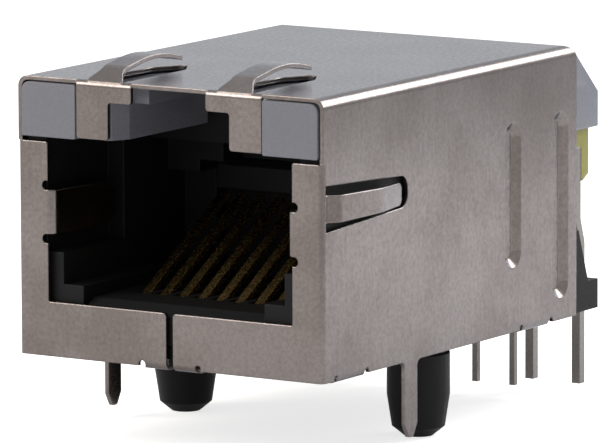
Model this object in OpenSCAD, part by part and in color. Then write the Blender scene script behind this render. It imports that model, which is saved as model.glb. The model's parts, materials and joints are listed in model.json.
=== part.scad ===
// Right-angle board jack for an eight-way modular plug: a folded sheet shield round a moulded
// housing, with a contact insert, magnetics on a small board, and two light pipes that carry
// the light of two lamps behind the jack to its front.
// Heights are above the circuit board that the jack stands on. x = 0 is the middle of the port,
// and y = 0 is the line through the two locating posts. The port faces -y.

/* [Shield] */
// Width of the folded shield
shield_w = 16.3; // [16:0.1:16.8]
// Depth of the shield, front face to rear flap
shield_d = 22.2; // [22:0.1:23.4]
// Height of the shield from its lower edge to its top
shield_h = 12.75; // [12.6:0.05:13.4]
// Thickness of the sheet
sheet = 0.2; // [0.16:0.01:0.24]
// Outside radius of the folds along the two top edges
fold_r = 0.5; // [0.35:0.05:0.7]
// Outside radius of the fold at the top of the rear flap
rear_fold_r = 0.7; // [0.4:0.05:0.9]
// Outside radius of the folds round the front face
front_fold_r = 0.26; // [0.25:0.01:0.36]
// Gap between the shield's lower edge and the board
board_gap = 0.25; // [0.2:0.05:0.4]

/* [Port] */
// Width of the opening between the two front columns of the shield
port_w = 13.1; // [12.7:0.1:13.4]
// Height of the opening's lower edge above the shield's lower edge
port_sill = 2.5; // [2.2:0.1:2.6]
// Height of the columns' top ends above the shield's lower edge
port_head = 9.8; // [9.6:0.1:9.9]
// Width of the slot that splits the lower front strip
front_slot_w = 0.38; // [0.2:0.02:0.6]
// Distance from the middle to the inner edge of each top tab
tab_in = 2.0; // [1.8:0.05:2.2]
// Distance from the middle to the inner edge of a top tab's leg
leg_in = 3.25; // [3.1:0.05:3.4]
// Distance from the middle to the outer edge of each top tab
tab_out = 4.95; // [4.8:0.05:5.1]
// Depth of a top tab's crossbar below the shield's top
tab_drop = 0.95; // [0.8:0.05:1.1]
// Depth of a top tab's leg below the shield's top
leg_drop = 2.65; // [2.4:0.05:2.7]

/* [Ground fingers] */
// Distance from the middle to the centre line of each top finger
top_finger_x = 3.475; // [3.2:0.05:3.7]
// Width of a top finger
top_finger_w = 1.2; // [0.9:0.05:1.4]
// Length of a top finger
top_finger_l = 5.7; // [5.2:0.1:6]
// Height of a top finger's arch above the shield
top_finger_rise = 0.9; // [0.5:0.05:1.1]
// Height of the side fingers' centre line above the shield's lower edge
side_finger_z = 7.8; // [7.6:0.05:8]
// Width of a side finger at its root
side_finger_w = 1.25; // [1:0.05:1.5]
// Length of a side finger
side_finger_l = 6.2; // [5.6:0.1:6.4]
// Height of the side fingers' arch out of the shield
side_finger_rise = 0.6; // [0.4:0.05:0.8]
// Width of the grounding springs inside the port
spring_w = 2.0; // [1.6:0.1:2.2]
// Height of the grounding springs' centre above the shield's lower edge
spring_z = 6.6; // [6.4:0.05:6.7]
// How far the grounding springs reach into the port
spring_l = 4.8; // [4:0.1:5]

/* [Side grooves and board pins] */
// Width of a side groove's mouth
groove_w = 1.5; // [1.2:0.05:1.7]
// Depth of a side groove
groove_depth = 0.3; // [0.15:0.05:0.35]
// Distance of the long groove from the shield's rear
long_groove_back = 1.5; // [1.3:0.05:1.6]
// Distance between the two grooves
groove_pitch = 4.3; // [3.8:0.1:4.6]
// Height of the grooves' top ends above the shield's lower edge
groove_top = 9.8; // [9:0.1:10]
// Width of each of the shield's board pins
shield_pin_w = 1.05; // [0.9:0.05:1.3]
// Distance of the shield's board pins from its front
shield_pin_y = 7.45; // [6.8:0.05:8]
// Length of the shield's board pins below its lower edge
shield_pin_l = 3.5; // [3:0.05:3.6]

/* [Plug cavity] */
// Width of the plug cavity
cavity_w = 11.85; // [11.7:0.05:12]
// Height of the rails that the plug slides on, above the shield's lower edge
cavity_floor = 3.3; // [3.2:0.05:3.4]
// Height of the plug cavity
cavity_h = 6.7; // [6.6:0.05:6.75]
// Depth at which the cavity's roof first steps down
cavity_d = 7.6; // [7.4:0.1:7.8]
// Width of the channel for the plug's latch
latch_w = 5.6; // [5.4:0.05:5.8]
// Width of the narrow upper part of the latch channel
latch_neck_w = 4.0; // [3.8:0.05:4.1]

/* [Contacts] */
// Number of contacts
contact_count = 8; // [8:1:8]
// Distance between neighbouring contacts
contact_pitch = 1.016; // [1:0.004:1.02]
// Width of a contact
contact_w = 0.44; // [0.36:0.02:0.5]
// Thickness of a contact
contact_t = 0.28; // [0.22:0.02:0.32]
// Slope of the contacts' free ends
contact_slope = 30; // [29:0.5:30.5]
// Depth of the contacts' tips behind the shield's front face
contact_tip_y = 10.1; // [9.6:0.1:10.2]

/* [Light pipes and lamps] */
// Width of the light bar that runs to the rear
bar_w = 3.1; // [2.8:0.05:3.2]
// Gap between the light bar and the shield's top
bar_gap = 0.25; // [0.15:0.05:0.45]
// How far the prism hood stands behind the shield
hood_reach = 2.4; // [2.3:0.05:2.6]
// Height of the hood's lower edge above the shield's lower edge
hood_z = 8.65; // [8.4:0.05:8.8]
// Wall of the hood round the lamp
hood_wall = 0.22; // [0.15:0.01:0.25]
// Width of a lamp body
lamp_w = 3.0; // [2.8:0.05:3]
// Depth of a lamp body
lamp_d = 1.8; // [1.6:0.05:1.85]
// Height of a lamp body's underside above the shield's lower edge
lamp_z = 6.15; // [5.8:0.05:6.4]
// Height of a lamp body
lamp_h = 3.85; // [3.6:0.05:3.9]
// Distance between a lamp's two leads
lead_pitch = 2.54; // [2.4:0.02:2.54]
// Thickness of a lamp's square leads
lead_t = 0.44; // [0.36:0.02:0.5]

/* [Posts and signal pins] */
// Distance between the two locating posts
post_pitch = 12.7; // [12.5:0.05:12.8]
// Diameter of the locating posts
post_d = 2.9; // [2.7:0.05:3.05]
// Length of the locating posts below the board's top
post_l = 3.85; // [3.6:0.05:4]
// Distance of the locating posts behind the shield's front face
post_setback = 11; // [10.8:0.1:11.2]
// Number of signal pins
pin_count = 6; // [6:1:6]
// Distance between neighbouring signal pins
pin_pitch = 2.032; // [1.9:0.004:2.04]
// Thickness of the square signal pins
pin_t = 0.28; // [0.24:0.02:0.34]
// Length of the pins and leads below the shield's lower edge
pin_l = 3.48; // [3:0.02:3.5]

/* [Magnetics] */
// Thickness of the inner circuit board
pcb_t = 0.8; // [0.6:0.1:0.9]
// Gap before, between and behind the two rows of coils
coil_gap = 0.32; // [0.2:0.02:0.6]
// Height of a toroid core
core_h = 1.5; // [1.2:0.1:1.8]
// Thickness of the winding wire
wire_t = 0.2; // [0.14:0.02:0.22]
// Turns on each toroid
turns = 10; // [6:2:10]
// Length of a resistor chip
resistor_l = 1; // [0.8:0.05:1.6]
// Width of a resistor chip
resistor_w = 0.44; // [0.3:0.02:0.8]
// Height of a resistor chip
resistor_h = 0.32; // [0.2:0.02:0.5]
// Distance between neighbouring resistors
resistor_pitch = 2.2; // [2:0.05:2.4]
// Length of the capacitor chip
capacitor_l = 4.4; // [3.2:0.1:4.6]
// Width of the capacitor chip
capacitor_w = 2; // [1.2:0.1:2.4]
// Height of the capacitor chip
capacitor_h = 0.72; // [0.5:0.02:0.8]

/* [Hidden] */
$fn = 48;
clear = 0.05;            // small clearance between seated pieces
fit = 0.12;              // clearance between the housing and the shield
half_w = shield_w / 2;
in_w = half_w - sheet;   // inside half width of the shield
in_top = shield_h - sheet;
rear_y = shield_d - sheet;

body_w = in_w - fit;                        // half width of the housing
groove_in = in_w - groove_depth;            // where the grooves end inside
rear_w = groove_in - clear;                 // half width of the housing between the grooves
groove_y = [shield_d - long_groove_back - groove_pitch, shield_d - long_groove_back];
groove_z = [3.0, 1.0];                      // lower ends of the short and the long groove
narrow_y = groove_y[0] - groove_w / 2 - 0.3;
body_y = sheet + 0.15;                      // front of the housing
body_z = 0.35;                              // underside of the housing
body_top = cavity_floor + cavity_h;
floor_t = 0.55;                             // floor of the housing
floor_top = body_z + floor_t;
rear_in = rear_y - 0.1;                     // rear end of the housing's walls

step_y = [cavity_d, cavity_d + 1.4, cavity_d + 2.8];  // steps of the cavity's rear roof
step_z = [body_top - 0.85, body_top - 2.5];
recess_w = 5.8;                             // middle recess in the rear roof

insert_w = 9.5;                             // width of the contact insert
insert_y = sheet + 0.08;
insert_z = floor_top + clear;
insert_top = 2.75;
comb_y = step_y[2];                         // front of the insert's rear block
comb_w = 8.3;
comb_z = 6.6;                               // underside of the rear block
comb_top = 8.0;
tail_y = comb_y + 1.9;                      // where the contacts rise to the inner board
insert_rear = tail_y + 0.45;
run_z = insert_z + 0.35;                    // height of the contacts' run under the floor
bend_r = 0.45;
tip_z = comb_z - 0.25;
slot_w = contact_w + 0.2;                   // slots in the insert

pcb_z = comb_top + 0.3;
pcb_y = tail_y - 0.9;
pcb_rear = rear_in - 0.6;
pcb_w = 2 * (rear_w - 0.7);
pcb_ledge = 0.45;
tail_top = pcb_z + pcb_t + 0.35;
chamber_y = insert_rear + 0.1;
chamber_top = pcb_z + pcb_t + 0.85;
deck_z = body_top + 0.45;                   // deck under the light bars

pipe_z = body_top + clear;                  // underside of the light pipes' front blocks
pipe_top = in_top - 0.12;
lens_in = tab_out + clear;
lens_out = in_w - clear;
latch_top = shield_h - tab_drop - 0.15;     // where the latch channel narrows
catch_y = 1.5;
bar_out = in_w - 0.25;
bar_in = bar_out - bar_w;
bar_z = deck_z + clear;
bar_top = in_top - bar_gap;
spine_w = 2 * (bar_in - 0.1);               // housing's spine between the light bars

hood_y = shield_d + 0.06;
hood_rear = shield_d + hood_reach;
lamp_x = lens_out - hood_wall - clear - lamp_w / 2;
lamp_y = shield_d + 1.08;
lamp_top = lamp_z + lamp_h;
hood_x = [lamp_x - lamp_w / 2 - clear - hood_wall, lens_out];
hood_top = bar_top - 0.1;
hood_corner = lamp_top + 0.3;
lead_y = lamp_y;
lead_jog = 0.38;
lead_jog_z = [4.3, 3.2];
lead_down_y = lead_y + lead_jog;

ledge_rear = shield_d + 2.55;               // rear ledge of the housing
ledge_top = 1.38;
cheek_top = 3.9;
cheek_y = [shield_d + 0.75, shield_d + 1.65];

post_y = post_setback;
post_r = post_d / 2;
pad_h = board_gap + body_z;
pin_y = shield_d - 0.6;
pin_rise_y = pcb_rear - 0.55;
pin_jog_z = [2.9, 2.1];                     // heights between which the signal pins move to the rear
coil_r = (pin_rise_y - pin_t / 2 - chamber_y - 3 * coil_gap) / 4;
core_d = 2 * (coil_r - wire_t - clear);
coil_y = [chamber_y + coil_gap + coil_r, chamber_y + 2 * coil_gap + 3 * coil_r];
coil_x = coil_r + 0.6;
coil_z = floor_top + wire_t + 2 * clear;
resistor_y = tail_y + 2.1;
capacitor_y = (resistor_y + pin_rise_y) / 2;

gold = [0.83, 0.66, 0.3];
black = [0.1, 0.1, 0.11];
steel = [0.62, 0.6, 0.58];
clear_resin = [0.8, 0.83, 0.88, 0.6];
tin = [0.68, 0.69, 0.7];

// ---- helpers -------------------------------------------------------------------------------

function unit(v) = v / norm(v);

function flat(p) = [p.x, p.y];

// Points of an arc of radius r and n steps that rounds the corner at b between a and c.
function corner_arc(a, b, c, r, n) =
    let (u = unit(a - b),
         v = unit(c - b),
         half = acos(max(-1, min(1, u * v))) / 2,
         centre = b + unit(u + v) * r / sin(half),
         from = b + u * r / tan(half) - centre,
         to = b + v * r / tan(half) - centre,
         start = atan2(from.y, from.x),
         sweep = (atan2(to.y, to.x) - start + 540) % 360 - 180)
    [for (i = [0:n]) centre + r * [cos(start + sweep * i / n), sin(start + sweep * i / n)]];

// A corner [x, y] stays sharp and [x, y, r] is rounded.
function bend_point(a, b, c, n = 6) = len(b) == 3 ? corner_arc(flat(a), flat(b), flat(c), b[2], n) : [b];

function rounded(pts) =
    let (n = len(pts))
    [for (i = [0:n - 1]) each bend_point(pts[(i + n - 1) % n], pts[i], pts[(i + 1) % n])];

function route(pts, n) =
    let (last = len(pts) - 1)
    [for (i = [0:last]) each i == 0 || i == last ? [flat(pts[i])]
        : bend_point(pts[i - 1], pts[i], pts[i + 1], n)];

function shifted(p, d) =
    [for (i = [0:len(p) - 1])
        let (before = unit(p[max(i, 1)] - p[max(i, 1) - 1]),
             after = i == len(p) - 1 ? before : unit(p[i + 1] - p[i]),
             mid = unit((i == 0 ? after : before) + after))
        p[i] + d / (mid * after) * [-mid.y, mid.x]];

function reversed(p) = [for (i = [len(p) - 1:-1:0]) p[i]];

// Outline of a strip of thickness t that follows a route with n steps in each bend.
function strip(pts, t, n = 6) =
    concat(shifted(route(pts, n), t / 2), reversed(shifted(route(pts, n), -t / 2)));

module along_x(x) translate([x[0], 0, 0]) rotate([90, 0, 90]) linear_extrude(x[1] - x[0]) children();

module along_y(y) translate([0, y[1], 0]) rotate([90, 0, 0]) linear_extrude(y[1] - y[0]) children();

module along_z(z) translate([0, 0, z[0]]) linear_extrude(z[1] - z[0]) children();

module span(x, y, z) translate([x[0], y[0], z[0]]) cube([x[1] - x[0], y[1] - y[0], z[1] - z[0]]);

module both_sides() {
    children();
    mirror([1, 0, 0]) children();
}

// From the shield's front face and lower edge to the board and the posts' line.
module placed() translate([0, -post_setback, board_gap]) children();

// Rectangle from lo to hi whose corners are rounded by r, counted from the lower left.
module soft_rect(lo, hi, r) {
    corner = [lo, [hi.x, lo.y], hi, [lo.x, hi.y]];
    inward = [[1, 1], [-1, 1], [-1, -1], [1, -1]];
    difference() {
        translate(lo) square(hi - lo);
        for (i = [0:3])
            if (r[i] > 0) translate(corner[i] + inward[i] * r[i] / 2) square(r[i], center = true);
    }
    for (i = [0:3])
        if (r[i] > 0) translate(corner[i] + inward[i] * r[i]) circle(r[i]);
}

// ---- shield --------------------------------------------------------------------------------

// The folded box, drawn in by d on every side. The inside runs out below.
module folded_box(d, low) {
    intersection() {
        along_y([d, shield_d - d])
            soft_rect([-half_w + d, low], [half_w - d, shield_h - d], [0, 0, fold_r - d, fold_r - d]);
        along_x([-half_w, half_w])
            soft_rect([d, low], [shield_d - d, shield_h - d],
                      [0, 0, rear_fold_r - d, front_fold_r - d]);
        along_z([low, shield_h])
            soft_rect([-half_w + d, d], [half_w - d, shield_d - d], [front_fold_r - d, front_fold_r - d, 0, 0]);
    }
}

// What is cut out of the right half of the front face.
module front_cuts() {
    foot = shield_h - leg_drop;
    bar = shield_h - tab_drop;
    far = half_w + 1;
    notch_r = 0.22;
    polygon(rounded([[-0.1, port_sill], [port_w / 2, port_sill, 0.08], [port_w / 2, port_head, 0.1],
                     [far, port_head], [far, shield_h + 1], [tab_out, shield_h + 1], [tab_out, foot, 0.14],
                     [leg_in, foot, 0.14], [leg_in, bar, 0.14], [tab_in, bar, 0.14], [tab_in, shield_h + 1],
                     [-0.1, shield_h + 1]]));
    polygon(rounded([[-0.1, -1], [front_slot_w / 2, -1], [front_slot_w / 2, port_sill, 0.16],
                     [front_slot_w / 2 + 0.3, port_sill], [front_slot_w / 2 + 0.3, port_sill + 0.1],
                     [-0.1, port_sill + 0.1]]));
    for (z = [-1, 1])
        translate([port_w / 2 + 0.08, spring_z + z * (spring_w / 2 + notch_r)]) circle(notch_r);
}

// Plain cut edges of the top and the sides where no flap is folded down from them.
module open_edges() {
    intersection() {
        along_y([0.08, sheet + 0.12])
            difference() {
                soft_rect([-half_w, port_head], [half_w, shield_h], [0, 0, fold_r, fold_r]);
                soft_rect([-in_w, port_head - 1], [in_w, in_top], [0, 0, fold_r - sheet, fold_r - sheet]);
            }
        union() {
            span([-tab_in, tab_in], [-1, 1], [in_top - 1, shield_h + 1]);
            both_sides() span([tab_out, half_w + 1], [-1, 1], [port_head - 1, shield_h + 1]);
        }
    }
}

bend_steps = 10;  // steps in the bends of the springs and hems

module top_slot() {
    translate([top_finger_x, 0])
        polygon(rounded([[-top_finger_w / 2 - 0.4, sheet + 0.02], [top_finger_w / 2 + 0.4, sheet + 0.02],
                         [top_finger_w / 2 + 0.3, top_finger_l - 0.3, 0.8],
                         [0, top_finger_l + 1.3, 0.35],
                         [-top_finger_w / 2 - 0.3, top_finger_l - 0.3, 0.8]]));
}

module side_slot() {
    translate([0, side_finger_z])
        polygon(rounded([[front_fold_r, -1.05], [side_finger_l + 1, -0.7, 0.6],
                         [side_finger_l + 1, 0.7, 0.6], [front_fold_r, 1.05]]));
}

module top_finger() {
    rise = shield_h - sheet / 2;
    w = top_finger_w / 2;
    intersection() {
        along_x([top_finger_x - w - 1, top_finger_x + w + 1])
            polygon(strip([[0.12, rise - 0.02], [1, rise + top_finger_rise * 0.65, 1.2],
                       [top_finger_l * 0.62, rise + top_finger_rise * 1.16, 7],
                       [top_finger_l, rise + top_finger_rise * 0.65]], sheet, bend_steps));
        along_z([in_top - 1, shield_h + 3])
            translate([top_finger_x, 0])
                polygon(rounded([[-w - 0.3, 0], [-w - 0.3, 0.26], [-w, 0.75, 0.5], [-w, top_finger_l - 0.02, 0.15],
                                 [w, top_finger_l - 0.02, 0.15], [w, 0.75, 0.5], [w + 0.3, 0.26], [w + 0.3, 0]]));
    }
}

module side_finger() {
    flank = half_w - sheet / 2;
    intersection() {
        along_z([side_finger_z - side_finger_w, side_finger_z + side_finger_w])
            polygon(strip([[flank, 0.2], [flank, 0.48, 0.16], [flank + side_finger_rise * 0.66, 0.92, 0.3],
                       [flank + side_finger_rise * 1.05, side_finger_l * 0.64, 4],
                       [flank + side_finger_rise * 0.5, side_finger_l]], sheet, bend_steps));
        along_x([flank - 1, half_w + 2])
            translate([0, side_finger_z])
                polygon(rounded([[0, -side_finger_w / 2], [side_finger_l - 0.05, -side_finger_w / 2 + 0.12, 0.3],
                                 [side_finger_l - 0.05, side_finger_w / 2 - 0.12, 0.3],
                                 [0, side_finger_w / 2]]));
    }
}

module port_spring() {
    edge = port_w / 2;
    intersection() {
        along_z([spring_z - spring_w / 2, spring_z + spring_w / 2])
            polygon(strip([[edge + 0.3, sheet / 2], [edge - 0.22, sheet / 2, 0.3],
                       [edge - 0.47, spring_l * 0.6, 6], [edge - 0.36, spring_l]], sheet, bend_steps));
        along_x([0, half_w])
            polygon(rounded([[-1, spring_z - spring_w], [spring_l * 0.5, spring_z - spring_w],
                             [spring_l * 0.5, spring_z - spring_w / 2],
                             [spring_l - 0.02, spring_z - spring_w / 2 + 0.12, 0.4],
                             [spring_l - 0.02, spring_z + spring_w / 2 - 0.12, 0.4],
                             [spring_l * 0.5, spring_z + spring_w / 2],
                             [spring_l * 0.5, spring_z + spring_w], [-1, spring_z + spring_w]]));
    }
}

// A groove with coned round ends, from the face at x = face inwards by depth.
module groove(i, face, depth, grow) {
    mouth = groove_w / 2 + grow;
    foot = mouth - depth * 1.3;
    ends = [groove_z[i] + groove_w / 2, groove_top - groove_w / 2];
    translate([face - depth, groove_y[i], 0]) {
        for (z = ends)
            translate([0, 0, z]) rotate([0, 90, 0]) cylinder(h = depth, r1 = foot, r2 = mouth);
        along_z(ends) polygon([[0, -foot], [depth, -mouth], [depth, mouth], [0, foot]]);
    }
}

module shield_pin() {
    root = shield_pin_w / 2;
    along_x([in_w, half_w])
        translate([shield_pin_y, 0])
            polygon(rounded([[-root - 0.5, 0.6], [-root - 0.5, 0], [-root, 0, 0.3], [-root, -shield_pin_l + 0.6],
                             [-0.18, -shield_pin_l, 0.12], [0.18, -shield_pin_l, 0.12],
                             [root, -shield_pin_l + 0.6], [root, 0, 0.3], [root + 0.5, 0], [root + 0.5, 0.6]]));
}

hem = 0.13;       // how far the folded hems hang below the lower edge
hem_l = 1.3;      // how far they reach inwards
hem_r = 0.26;     // bend radius at the middle of the sheet
side_hems = [[1.1, 3.7], [17.2, 19.9]];
front_hem = [front_slot_w / 2, 1.5];

// Outline of a hem folded inwards from a wall whose outer face is at x = face.
module hem_outline(face) {
    centre = face - sheet / 2;
    run = sheet / 2 - hem;
    polygon(strip([[centre, 0.7], [centre, run, hem_r], [centre - hem_l, run]], sheet, bend_steps));
}

// Room in the walls for the hems' bends.
module hem_cuts() {
    top = sheet / 2 - hem + hem_r;
    for (y = side_hems) span([in_w - 0.1, half_w + 0.1], y, [-1, top]);
    span(front_hem, [-0.1, sheet + 0.1], [-1, top]);
}

module hems() {
    for (y = side_hems) along_y(y) hem_outline(half_w);
    rotate([0, 0, -90]) along_y(front_hem) hem_outline(0);
}

// Small round notches at the ends of the hems.
module hem_notches() {
    for (y = side_hems, e = y)
        translate([in_w - 0.1, e, 0.08]) rotate([0, 90, 0]) cylinder(h = sheet + 0.2, r = 0.17);
    translate([front_hem[1], sheet + 0.1, 0.08]) rotate([90, 0, 0]) cylinder(h = sheet + 0.2, r = 0.18);
}

module rear_cuts() {
    window_z = [bar_z - 0.12, in_top];
    for (s = [0, 1])
        mirror([s, 0, 0]) {
            span([bar_in - 0.15, bar_out + 0.12], [rear_y - 0.1, shield_d + 0.1], window_z);
            span([in_w - 0.12, in_w], [rear_y - 0.1, shield_d + 0.1], [-1, shield_h - rear_fold_r]);
            span([bar_in - 0.4, in_w], [rear_y - 0.1, shield_d + 0.1], [-1, cheek_top + 0.1]);
        }
    span([-in_w, in_w], [rear_y - 0.1, shield_d + 0.1], [-1, ledge_top + 0.1]);
}

module shield() {
    placed()
        color(steel) {
            difference() {
                union() {
                    difference() {
                        folded_box(0, 0);
                        folded_box(sheet, -1);
                        both_sides() {
                            along_y([-1, sheet + 0.1]) front_cuts();
                            along_z([in_top - 0.3, shield_h + 1]) top_slot();
                            along_x([in_w - 0.4, half_w + 1]) side_slot();
                            hem_cuts();
                        }
                        rear_cuts();
                    }
                    open_edges();
                    both_sides() {
                        for (i = [0, 1]) groove(i, in_w + 0.01, groove_depth + 0.01, sheet * 0.4);
                        hems();
                    }
                }
                both_sides() {
                    for (i = [0, 1]) groove(i, half_w + 0.01, groove_depth + 0.01, 0);
                    hem_notches();
                }
            }
            both_sides() {
                top_finger();
                side_finger();
                port_spring();
                shield_pin();
            }
        }
}

// ---- housing -------------------------------------------------------------------------------

module locating_post() {
    straight = 1.9;
    tip = 0.45;
    foot_r = post_r - 0.23;
    cylinder(h = pad_h, r = post_r - 0.1, $fn = 8);
    translate([0, 0, -straight]) cylinder(h = straight, r = post_r);
    translate([0, 0, -post_l + tip]) cylinder(h = post_l - tip - straight, r1 = foot_r, r2 = post_r);
    translate([0, 0, -post_l]) cylinder(h = tip, r1 = foot_r - 0.55, r2 = foot_r);
}

module housing_body() {
    span([-body_w, body_w], [body_y, narrow_y], [body_z, body_top]);
    span([-rear_w, rear_w], [body_y, rear_in], [body_z, body_top]);
    span([-rear_w, rear_w], [cavity_d, rear_in], [body_top - 1, deck_z]);
    span([-spine_w / 2, spine_w / 2], [cavity_d, rear_in - 0.2], [deck_z - 1, pipe_top]);
    span([-body_w, body_w], [rear_in - 0.2, ledge_rear], [0, ledge_top]);
    both_sides()
        along_x([bar_in - 0.25, body_w])
            polygon([[rear_in - 0.2, 0], [cheek_y[1], 0], [cheek_y[1], ledge_top],
                     [cheek_y[0], cheek_top], [rear_in - 0.2, cheek_top]]);
}

// Space for the plug, its latch and the shield's springs.
module plug_space() {
    w = cavity_w / 2;
    span([-w, w], [-1, step_y[0]], [cavity_floor, shield_h]);
    span([-w, w], [-1, step_y[1]], [cavity_floor, step_z[0]]);
    span([-w, w], [-1, step_y[2]], [cavity_floor, step_z[1]]);
    span([-recess_w / 2, recess_w / 2], [-1, step_y[2] + 0.3], [cavity_floor, step_z[0]]);
    both_sides()
        span([w - 1, port_w / 2 + 0.25], [-1, spring_l + 0.5],
             [spring_z - spring_w / 2 - 0.85, body_top + 1]);
}

module insert_space() {
    span([-insert_w / 2 - 0.1, insert_w / 2 + 0.1], [-1, insert_rear + 0.05], [floor_top, cavity_floor + 0.5]);
    span([-comb_w / 2 - clear, comb_w / 2 + clear], [-1, insert_rear + 0.05], [floor_top, comb_top + clear]);
}

module magnetics_space() {
    w = pcb_w / 2;
    span([-w + pcb_ledge, w - pcb_ledge], [chamber_y - 0.2, rear_in + 1], [floor_top, pcb_z + 0.1]);
    span([-w - clear, w + clear], [pcb_y - clear, rear_in + 1], [pcb_z, chamber_top]);
    span([-comb_w / 2, comb_w / 2], [tail_y - 0.4, chamber_y], [floor_top, pcb_z + 0.1]);
}

module housing() {
    placed()
        color(black) {
            difference() {
                housing_body();
                plug_space();
                insert_space();
                magnetics_space();
                for (i = [0:pin_count - 1])
                    translate([pin_x(i), pin_y, 0])
                        cube([pin_t + 0.12, pin_t + 0.12, 2 * ledge_top + 0.2], center = true);
                for (s = [-1, 1], k = [-1, 1])
                    translate([s * lamp_x + k * lead_pitch / 2, 0, 0]) {
                        translate([0, lead_down_y, 0])
                            cube([lead_t + 0.1, lead_t + 0.1, 2 * ledge_top + 3.4], center = true);
                        span([-lead_t / 2 - 0.06, lead_t / 2 + 0.06], [lead_down_y, cheek_y[1] + 1],
                             [ledge_top, cheek_top + 0.1]);
                    }
            }
            both_sides()
                translate([post_pitch / 2, post_y, -board_gap]) locating_post();
            span([-2.6, 2.6], [post_y - 0.8, post_y + 0.8], [-board_gap, body_z]);
            both_sides()
                for (y = [2.4, 17.6])
                    span([3.4, 5], [y - 0.7, y + 0.7], [-board_gap, body_z]);
        }
}

// ---- contacts and their insert ---------------------------------------------------------------

function contact_x(i) = (i - (contact_count - 1) / 2) * contact_pitch;

// Where the sloping free end would meet the run under the floor.
toe_y = contact_tip_y - (tip_z - run_z) / tan(contact_slope);

contact_route = [[contact_tip_y, tip_z], [toe_y, run_z, bend_r], [tail_y, run_z, 0.4], [tail_y, tail_top]];

module contact(i) {
    placed()
        color(gold)
            along_x([contact_x(i) - contact_w / 2, contact_x(i) + contact_w / 2])
                polygon(strip(contact_route, contact_t));
}

module contact_slot(i) {
    x = [contact_x(i) - slot_w / 2, contact_x(i) + slot_w / 2];
    toe = toe_y + bend_r / tan(contact_slope / 2);
    along_x(x) polygon(strip(contact_route, contact_t + 2 * clear));
    span(x, [toe - 0.05, comb_y + 0.8], [run_z + 0.7, insert_top + 1]);
    span(x, [toe - bend_r - contact_t, insert_rear + 1], [0, run_z]);
    span(x, [tail_y, insert_rear + 1], [0, comb_top + 1]);
    span(x, [comb_y + 0.25, comb_y + 0.8], [insert_top, comb_z + 0.6]);
}

module contact_insert() {
    placed()
        color(black)
            difference() {
                union() {
                    along_x([-insert_w / 2, insert_w / 2])
                        polygon([[insert_y, insert_z], [insert_y, insert_top - 0.45], [insert_y + 0.7, insert_top],
                                 [insert_rear, insert_top], [insert_rear, insert_z]]);
                    along_x([-comb_w / 2, comb_w / 2])
                        polygon([[comb_y + 0.8, insert_z], [comb_y + 0.8, comb_z], [comb_y, comb_z],
                                 [comb_y, comb_top - 0.3], [comb_y + 0.3, comb_top],
                                 [insert_rear, comb_top], [insert_rear, insert_z]]);
                }
                for (i = [0:contact_count - 1]) contact_slot(i);
            }
}

// ---- inner board and magnetics -----------------------------------------------------------------

function pin_x(i) = (i - (pin_count - 1) / 2) * pin_pitch;

module circuit_board() {
    placed()
        color([0.12, 0.35, 0.2])
            difference() {
                span([-pcb_w / 2, pcb_w / 2], [pcb_y, pcb_rear], [pcb_z + clear, pcb_z + pcb_t]);
                for (i = [0:contact_count - 1])
                    translate([contact_x(i), tail_y, pcb_z - 1]) cylinder(h = pcb_t + 2, r = contact_w * 0.72, $fn = 8);
                for (i = [0:pin_count - 1])
                    translate([pin_x(i), pin_rise_y, pcb_z - 1]) cylinder(h = pcb_t + 2, r = pin_t * 0.9, $fn = 8);
            }
}

// Centre of toroid k: the transformers are in front and the chokes behind them.
function coil_place(k) = [(k % 2 == 0 ? -1 : 1) * coil_x, coil_y[floor(k / 2)], coil_z];

module core(k) {
    placed()
        color([0.22, 0.22, 0.24])
            translate(coil_place(k))
                difference() {
                    cylinder(h = core_h, d = core_d);
                    translate([0, 0, -1]) cylinder(h = core_h + 2, d = core_d / 2);
                }
}

// One turn of wire: a square loop round the ring's section.
module turn() {
    r = [core_d / 4 - clear, core_d / 2 + clear];
    difference() {
        span([r[0] - wire_t, r[1] + wire_t], [-wire_t / 2, wire_t / 2], [-clear - wire_t, core_h + clear + wire_t]);
        span(r, [-wire_t, wire_t], [-clear, core_h + clear]);
    }
}

module winding(k, tint) {
    placed()
        color(tint)
            translate(coil_place(k))
                for (i = [0:turns - 1]) rotate(i * 360 / turns) turn();
}

// A chip with metal end caps on top of the inner board.
module chip(x, y, size, band, tint) {
    lap = 0.02;
    body = [size.x / 2 - band + lap, size.y / 2 - lap];
    placed()
        translate([x, y, pcb_z + pcb_t]) {
            color(tint) span([-body.x, body.x], [-body.y, body.y], [0, size.z - lap]);
            color(tin)
                both_sides() span([size.x / 2 - band, size.x / 2], [-size.y / 2, size.y / 2], [0, size.z]);
        }
}

module resistor(k)
    chip((k - 1.5) * resistor_pitch, resistor_y, [resistor_l, resistor_w, resistor_h], 0.16, [0.15, 0.15, 0.16]);

module capacitor()
    chip(0, capacitor_y, [capacitor_l, capacitor_w, capacitor_h], 0.6, [0.66, 0.52, 0.38]);

module signal_pin(i) {
    placed()
        color(tin)
            along_x([pin_x(i) - pin_t / 2, pin_x(i) + pin_t / 2])
                polygon(strip([[pin_rise_y, tail_top], [pin_rise_y, pin_jog_z[0], 0.5],
                               [pin_y, pin_jog_z[1], 0.5], [pin_y, -pin_l]], pin_t));
}

// ---- light pipes and lamps -----------------------------------------------------------------------

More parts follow.
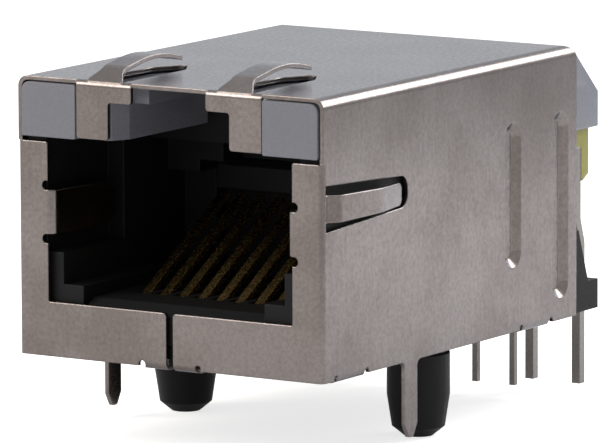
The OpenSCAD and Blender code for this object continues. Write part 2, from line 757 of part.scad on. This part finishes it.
// The right-hand light pipe: lens, front block with the latch channel's wall, bar and prism hood.
module light_pipe() {
    front = sheet + 0.07;
    wall = latch_w / 2;
    difference() {
        union() {
            along_y([-0.02, front + 0.5])
                soft_rect([lens_in, port_head + 0.22], [lens_out, in_top - clear], [0.08, 0.08, fold_r - 0.1, 0.08]);
            along_z([pipe_z, pipe_top])
                polygon([[wall, front + 0.85], [leg_in, front], [bar_out, front], [bar_out, step_y[0] - clear],
                         [wall, step_y[0] - clear]]);
            span([latch_neck_w / 2, wall + 0.1], [catch_y, step_y[0] - clear], [latch_top, pipe_top]);
            span([bar_in, bar_out], [step_y[0] - 0.5, hood_y + 0.3], [bar_z, bar_top]);
            along_x(hood_x)
                polygon([[hood_y, hood_z], [hood_rear, hood_z], [hood_rear, hood_corner],
                         [hood_y + 0.35, hood_top], [hood_y, hood_top]]);
        }
        translate([lamp_x, lamp_y, hood_z - 1])
            span([-lamp_w / 2 - clear, lamp_w / 2 + clear], [-lamp_d / 2 - clear, lamp_d / 2 + clear],
                 [0, lamp_top + clear - hood_z + 1]);
    }
}

module light_pipe_side(s) placed() color(clear_resin) mirror([s, 0, 0]) light_pipe();

module lead(s, k, grow) {
    x = s * lamp_x + k * lead_pitch / 2;
    along_x([x - lead_t / 2 - grow, x + lead_t / 2 + grow])
        polygon(strip([[lead_y, lamp_z + 1.6 + grow], [lead_y, lead_jog_z[0], 1],
                       [lead_down_y, lead_jog_z[1], 1], [lead_down_y, -pin_l]], lead_t + 2 * grow));
}

module lamp(s, tint) {
    placed()
        color(tint)
            difference() {
                translate([s * lamp_x, 0, 0])
                    along_x([-lamp_w / 2, lamp_w / 2])
                        polygon([[lamp_y - lamp_d / 2, lamp_z], [lamp_y + lamp_d / 2 - 0.5, lamp_z],
                                 [lamp_y + lamp_d / 2, lamp_z + 0.3], [lamp_y + lamp_d / 2, lamp_top - 0.2],
                                 [lamp_y + lamp_d / 2 - 0.2, lamp_top], [lamp_y - lamp_d / 2 + 0.2, lamp_top],
                                 [lamp_y - lamp_d / 2, lamp_top - 0.2]]);
                for (k = [-1, 1]) lead(s, k, 0.01);
            }
}

module lamp_lead(s, k) placed() color(tin) lead(s, k, 0);

// ---- the pieces ------------------------------------------------------------------------------------

copper = [0.72, 0.4, 0.2];
enamel = [0.5, 0.12, 0.1];

shield();
housing();
contact_insert();
contact(0);  // contact_1
contact(1);  // contact_2
contact(2);  // contact_3
contact(3);  // contact_4
contact(4);  // contact_5
contact(5);  // contact_6
contact(6);  // contact_7
contact(7);  // contact_8
circuit_board();
core(0);  // transformer_core_1
core(1);  // transformer_core_2
core(2);  // choke_core_1
core(3);  // choke_core_2
winding(0, copper);  // transformer_winding_1
winding(1, copper);  // transformer_winding_2
winding(2, enamel);  // choke_winding_1
winding(3, enamel);  // choke_winding_2
resistor(0);  // resistor_1
resistor(1);  // resistor_2
resistor(2);  // resistor_3
resistor(3);  // resistor_4
capacitor();
signal_pin(0);  // signal_pin_1
signal_pin(1);  // signal_pin_2
signal_pin(2);  // signal_pin_3
signal_pin(3);  // signal_pin_4
signal_pin(4);  // signal_pin_5
signal_pin(5);  // signal_pin_6
light_pipe_side(1);  // light_pipe_left
light_pipe_side(0);  // light_pipe_right
lamp(-1, [0.55, 0.62, 0.2]);  // lamp_left
lamp(1, [0.68, 0.66, 0.22]);  // lamp_right
lamp_lead(-1, -1);  // lamp_left_lead_1
lamp_lead(-1, 1);  // lamp_left_lead_2
lamp_lead(1, -1);  // lamp_right_lead_1
lamp_lead(1, 1);  // lamp_right_lead_2
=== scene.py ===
"""Finish, light and camera for the board jack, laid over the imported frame."""
import json
import math

import bpy
from mathutils import Matrix, Vector


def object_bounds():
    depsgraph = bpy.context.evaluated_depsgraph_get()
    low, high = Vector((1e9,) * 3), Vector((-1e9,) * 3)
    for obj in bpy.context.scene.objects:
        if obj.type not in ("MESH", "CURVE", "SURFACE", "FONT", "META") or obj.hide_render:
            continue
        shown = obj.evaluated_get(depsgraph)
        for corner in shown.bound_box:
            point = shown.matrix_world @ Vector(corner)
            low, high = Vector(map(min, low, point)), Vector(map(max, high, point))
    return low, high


MM = 0.001

# The camera looks from the port's right and a little above: angles in degrees, lengths in mm.
VIEW_AZIMUTH, VIEW_ELEVATION, VIEW_ROLL = 32.37, 8.62, -0.2
VIEW_DISTANCE = 343.8
VIEW_AIM = (0.71, -0.64, 5.64)
VIEW_LENS, VIEW_SENSOR = 441.0, 36.0

LENS_FRONT_Y = -10.7  # the clear mouldings are frosted in front of this, in mm
FROST_DEPTH = 0.25

FLOOR_SIZE = 6.0  # metres
FLOOR_TONE = 0.8
FLOOR_GLOW_SEEN, FLOOR_GLOW_MIRRORED = 0.75, 0.25
WORLD_LIGHT, WORLD_SEEN = 0.35, 1.0

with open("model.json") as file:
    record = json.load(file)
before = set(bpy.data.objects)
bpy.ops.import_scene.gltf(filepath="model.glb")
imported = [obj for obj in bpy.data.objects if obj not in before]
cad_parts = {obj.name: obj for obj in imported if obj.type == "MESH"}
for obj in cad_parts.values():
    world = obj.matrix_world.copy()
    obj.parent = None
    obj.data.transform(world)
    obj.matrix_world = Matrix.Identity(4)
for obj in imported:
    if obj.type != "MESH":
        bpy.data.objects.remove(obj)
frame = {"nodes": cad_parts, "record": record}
bpy.context.view_layer.update()
cad_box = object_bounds()
scene = bpy.context.scene
scene.view_settings.view_transform = "Standard"


# ---- camera --------------------------------------------------------------------------------

def direction(azimuth, elevation):
    """The unit vector towards a place; azimuth 0 is in front of the port, 90 is on its right."""
    a, e = math.radians(azimuth), math.radians(elevation)
    return Vector((math.sin(a) * math.cos(e), -math.cos(a) * math.cos(e), math.sin(e)))


def make_camera():
    data = bpy.data.cameras.new("view")
    data.lens, data.sensor_width = VIEW_LENS, VIEW_SENSOR
    data.clip_start, data.clip_end = 0.01, 20.0
    cam = bpy.data.objects.new("view", data)
    scene.collection.objects.link(cam)
    back = direction(VIEW_AZIMUTH, VIEW_ELEVATION)
    side = Vector((0, 0, 1)).cross(back).normalized()
    up = back.cross(side)
    roll = math.radians(VIEW_ROLL)
    right = side * math.cos(roll) + up * math.sin(roll)
    up = back.cross(right)
    turn = Matrix((right, up, back)).transposed().to_4x4()
    place = Vector(VIEW_AIM) * MM + back * VIEW_DISTANCE * MM
    cam.matrix_world = Matrix.Translation(place) @ turn
    scene.camera = cam


# ---- shader helpers ------------------------------------------------------------------------

class Shader:
    """A material being built: every helper returns an output socket."""

    def __init__(self, name):
        self.mat = bpy.data.materials.new(name)
        self.mat.use_nodes = True
        self.tree = self.mat.node_tree
        self.tree.nodes.clear()
        self.out = self.node("ShaderNodeOutputMaterial")
        self.body = self.node("ShaderNodeBsdfPrincipled")
        self.link(self.body.outputs[0], self.out.inputs["Surface"])
        coords = self.node("ShaderNodeTexCoord")
        scale = self.node("ShaderNodeVectorMath", operation="SCALE")
        self.link(coords.outputs["Object"], scale.inputs[0])
        scale.inputs["Scale"].default_value = 1 / MM
        self.mm = scale.outputs[0]

    def node(self, kind, **settings):
        n = self.tree.nodes.new(kind)
        for key, value in settings.items():
            setattr(n, key, value)
        return n

    def link(self, a, b):
        self.tree.links.new(a, b)

    def put(self, value, socket):
        """Links a socket, or sets a plain value on the socket itself."""
        if isinstance(value, bpy.types.NodeSocket):
            self.link(value, socket)
        else:
            socket.default_value = value

    def set(self, **values):
        for key, value in values.items():
            self.put(value, self.body.inputs[key.replace("_", " ")])

    def depth(self):
        """The object's y in mm, from the port towards the rear."""
        parts = self.node("ShaderNodeSeparateXYZ")
        self.link(self.mm, parts.inputs[0])
        return parts.outputs["Y"]

    def noise(self, per_mm, detail=3.0, rough=0.5, stretch=None):
        n = self.node("ShaderNodeTexNoise")
        vector = self.mm
        if stretch:
            m = self.node("ShaderNodeVectorMath", operation="MULTIPLY")
            self.link(self.mm, m.inputs[0])
            m.inputs[1].default_value = stretch
            vector = m.outputs[0]
        self.link(vector, n.inputs["Vector"])
        n.inputs["Scale"].default_value = per_mm
        n.inputs["Detail"].default_value = detail
        n.inputs["Roughness"].default_value = rough
        return n.outputs["Fac"]

    def math(self, operation, a, b):
        n = self.node("ShaderNodeMath", operation=operation)
        self.put(a, n.inputs[0])
        self.put(b, n.inputs[1])
        return n.outputs[0]

    def ramp(self, value, lo, hi, to_lo=0.0, to_hi=1.0):
        n = self.node("ShaderNodeMapRange", interpolation_type="SMOOTHSTEP")
        self.put(value, n.inputs["Value"])
        ends = (("From Min", lo), ("From Max", hi), ("To Min", to_lo), ("To Max", to_hi))
        for key, end in ends:
            n.inputs[key].default_value = end
        return n.outputs[0]

    def mix(self, factor, a, b):
        n = self.node("ShaderNodeMix", data_type="RGBA")
        self.put(factor, n.inputs[0])
        self.put(a, n.inputs[6])
        self.put(b, n.inputs[7])
        return n.outputs[2]

    def bevel(self, radius):
        n = self.node("ShaderNodeBevel", samples=6)
        n.inputs["Radius"].default_value = radius * MM
        return n.outputs[0]

    def bump(self, height, depth, normal):
        n = self.node("ShaderNodeBump")
        n.inputs["Strength"].default_value = 1.0
        n.inputs["Distance"].default_value = depth * MM
        self.put(height, n.inputs["Height"])
        self.link(normal, n.inputs["Normal"])
        return n.outputs[0]


def colour(r, g, b):
    return (r, g, b, 1.0)


# ---- materials: grain in cycles per mm, bevels and bumps in mm -----------------------------

def sheet_metal():
    """Tin-plated sheet: fine sand over faint streaks and clouds."""
    s = Shader("tinned sheet")
    sand = s.noise(5.0, 3.0, 0.75)
    cloud = s.noise(0.22, 3.0, 0.5)
    streak = s.noise(1.0, 3.0, 0.6, (0.8, 5.0, 0.8))
    tone = s.math("ADD", s.math("MULTIPLY", cloud, 0.7), s.math("MULTIPLY", streak, 0.3))
    dark, light = colour(0.215, 0.187, 0.175), colour(0.265, 0.236, 0.225)
    plain = s.mix(s.ramp(tone, 0.38, 0.62), dark, light)
    pits = colour(0.05, 0.045, 0.042)
    base = s.mix(s.ramp(sand, 0.3, 0.7, 0.0, 0.24), plain, pits)
    s.set(Base_Color=base, Metallic=1.0, Roughness=s.ramp(sand, 0.3, 0.7, 0.17, 0.27))
    s.set(Specular_Tint=colour(0.86, 0.9, 0.97))
    s.set(Normal=s.bump(sand, 0.003, s.bevel(0.09)))
    return s.mat


def black_moulding(name, tone):
    s = Shader(name)
    fine = s.noise(14.0, 3.0, 0.6)
    dark = colour(tone * 0.8, tone * 0.8, tone * 0.85)
    light = colour(tone * 1.2, tone * 1.2, tone * 1.3)
    rough = s.ramp(fine, 0.3, 0.7, 0.45, 0.6)
    s.set(Base_Color=s.mix(fine, dark, light), Roughness=rough, Specular_IOR_Level=0.2)
    s.set(Normal=s.bump(fine, 0.006, s.bevel(0.08)))
    return s.mat


def plated(name, base, rough):
    s = Shader(name)
    grain = s.noise(9.0, 2.0, 0.6)
    rough = s.ramp(grain, 0.3, 0.7, rough * 0.85, rough * 1.2)
    s.set(Base_Color=base, Metallic=1.0, Roughness=rough, Normal=s.bevel(0.06))
    return s.mat


def clear_resin():
    """The light pipes: clear, with a frosted front face."""
    s = Shader("clear moulding")
    haze = s.noise(5.0, 3.0, 0.6)
    frost = s.noise(12.0, 2.0, 0.6)
    front = s.ramp(s.depth(), LENS_FRONT_Y, LENS_FRONT_Y - FROST_DEPTH)
    clear_rough = s.ramp(haze, 0.3, 0.7, 0.08, 0.16)
    rough = s.math("MAXIMUM", clear_rough, s.math("MULTIPLY", front, 0.6))
    dark, light = colour(0.4, 0.41, 0.47), colour(0.46, 0.47, 0.54)
    base = s.mix(s.ramp(frost, 0.35, 0.65), dark, light)
    s.set(Base_Color=base, Roughness=rough, Transmission_Weight=0.5, IOR=1.5)
    s.set(Normal=s.bump(haze, 0.003, s.bevel(0.08)))
    return s.mat


def lamp_resin(name, base):
    s = Shader(name)
    haze = s.noise(3.0, 3.0, 0.6)
    rough = s.ramp(haze, 0.3, 0.7, 0.16, 0.26)
    s.set(Base_Color=base, Roughness=rough, Transmission_Weight=0.35, IOR=1.5)
    s.set(Normal=s.bump(haze, 0.004, s.bevel(0.1)))
    return s.mat


def board_green():
    s = Shader("solder resist")
    trace = s.noise(1.4, 1.0, 0.4, (1.0, 0.3, 1.0))
    gap, copper = colour(0.02, 0.12, 0.05), colour(0.04, 0.2, 0.08)
    base = s.mix(s.ramp(trace, 0.5, 0.53), gap, copper)
    s.set(Base_Color=base, Roughness=0.3, Normal=s.bevel(0.04))
    return s.mat


def dull(name, base, rough):
    s = Shader(name)
    grain = s.noise(20.0, 3.0, 0.6)
    dark = colour(*(c * 0.75 for c in base))
    s.set(Base_Color=s.mix(grain, dark, colour(*base)), Roughness=rough)
    s.set(Normal=s.bump(grain, 0.01, s.bevel(0.04)))
    return s.mat


def dress():
    looks = {
        "shield_sheet": sheet_metal(),
        "housing_moulding": black_moulding("housing moulding", 0.007),
        "insert_moulding": black_moulding("insert moulding", 0.008),
        "contact_gold": plated("gold plate", colour(0.72, 0.5, 0.18), 0.25),
        "circuit_board": board_green(),
        "ferrite": dull("ferrite", (0.06, 0.06, 0.065), 0.6),
        "copper_wire": plated("copper wire", colour(0.7, 0.33, 0.16), 0.25),
        "enamelled_wire": plated("enamelled wire", colour(0.42, 0.07, 0.04), 0.25),
        "resistor": dull("chip glaze", (0.03, 0.03, 0.035), 0.3),
        "capacitor": dull("chip ceramic", (0.5, 0.36, 0.22), 0.5),
        "light_pipe": clear_resin(),
        "lamp_green": lamp_resin("green lamp resin", colour(0.38, 0.45, 0.06)),
        "lamp_yellow": lamp_resin("yellow lamp resin", colour(0.46, 0.43, 0.07)),
        "tinned_wire": plated("tinned wire", colour(0.24, 0.225, 0.215), 0.3),
    }
    for entry in frame["record"]["subparts"]:
        mesh = frame["nodes"][entry["node"]]
        for place in mesh.material_slots:
            place.material = looks[entry["material_slot"]]


# ---- floor, world and lamps ----------------------------------------------------------------

def make_floor():
    """A pale floor that the camera sees near white and the metal mirrors darker."""
    bpy.ops.mesh.primitive_plane_add(size=FLOOR_SIZE, location=(0, 0, cad_box[0].z))
    floor = bpy.context.object
    floor.name = "floor"
    s = Shader("pale floor")
    ray = s.node("ShaderNodeLightPath").outputs
    mirrored = s.math("MAXIMUM", ray["Is Glossy Ray"], ray["Is Transmission Ray"])
    glow = s.math("MAXIMUM", s.math("MULTIPLY", ray["Is Camera Ray"], FLOOR_GLOW_SEEN),
                  s.math("MULTIPLY", mirrored, FLOOR_GLOW_MIRRORED))
    s.set(Base_Color=colour(FLOOR_TONE, FLOOR_TONE, FLOOR_TONE), Roughness=0.9)
    s.set(Emission_Color=colour(1, 1, 1), Emission_Strength=glow)
    floor.data.materials.append(s.mat)


def make_world():
    """White where it is seen or mirrored, weaker as a light."""
    world = bpy.data.worlds.new("studio")
    scene.world = world
    world.use_nodes = True
    tree = world.node_tree
    tree.nodes.clear()
    out = tree.nodes.new("ShaderNodeOutputWorld")
    back = tree.nodes.new("ShaderNodeBackground")
    path = tree.nodes.new("ShaderNodeLightPath")
    seen = path.outputs["Is Camera Ray"]
    for kind in ("Is Glossy Ray", "Is Transmission Ray"):
        either = tree.nodes.new("ShaderNodeMath")
        either.operation = "MAXIMUM"
        tree.links.new(seen, either.inputs[0])
        tree.links.new(path.outputs[kind], either.inputs[1])
        seen = either.outputs[0]
    level = tree.nodes.new("ShaderNodeMapRange")
    level.inputs["To Min"].default_value = WORLD_LIGHT
    level.inputs["To Max"].default_value = WORLD_SEEN
    tree.links.new(seen, level.inputs["Value"])
    tree.links.new(level.outputs[0], back.inputs["Strength"])
    tree.links.new(back.outputs[0], out.inputs["Surface"])


def lamp(name, azimuth, elevation, distance, size, watts, tint=(1, 1, 1)):
    """A square lamp, its distance and size in metres, aimed at the frame's origin."""
    data = bpy.data.lights.new(name, "AREA")
    data.color = tint
    data.shape, data.size, data.energy = "SQUARE", size, watts
    obj = bpy.data.objects.new(name, data)
    scene.collection.objects.link(obj)
    away = direction(azimuth, elevation)
    turn = away.to_track_quat("Z", "Y").to_matrix().to_4x4()
    obj.matrix_world = Matrix.Translation(away * distance) @ turn


make_camera()
dress()
make_floor()
make_world()
lamp("key", -40, 35, distance=0.2, size=0.1, watts=0.2, tint=(1.0, 0.93, 0.87))
lamp("rear", 150, 32, distance=0.1, size=0.05, watts=0.05)
lamp("overhead", 170, 72, distance=0.16, size=0.1, watts=0.11, tint=(0.95, 0.97, 1.0))

bpy.context.view_layer.update()
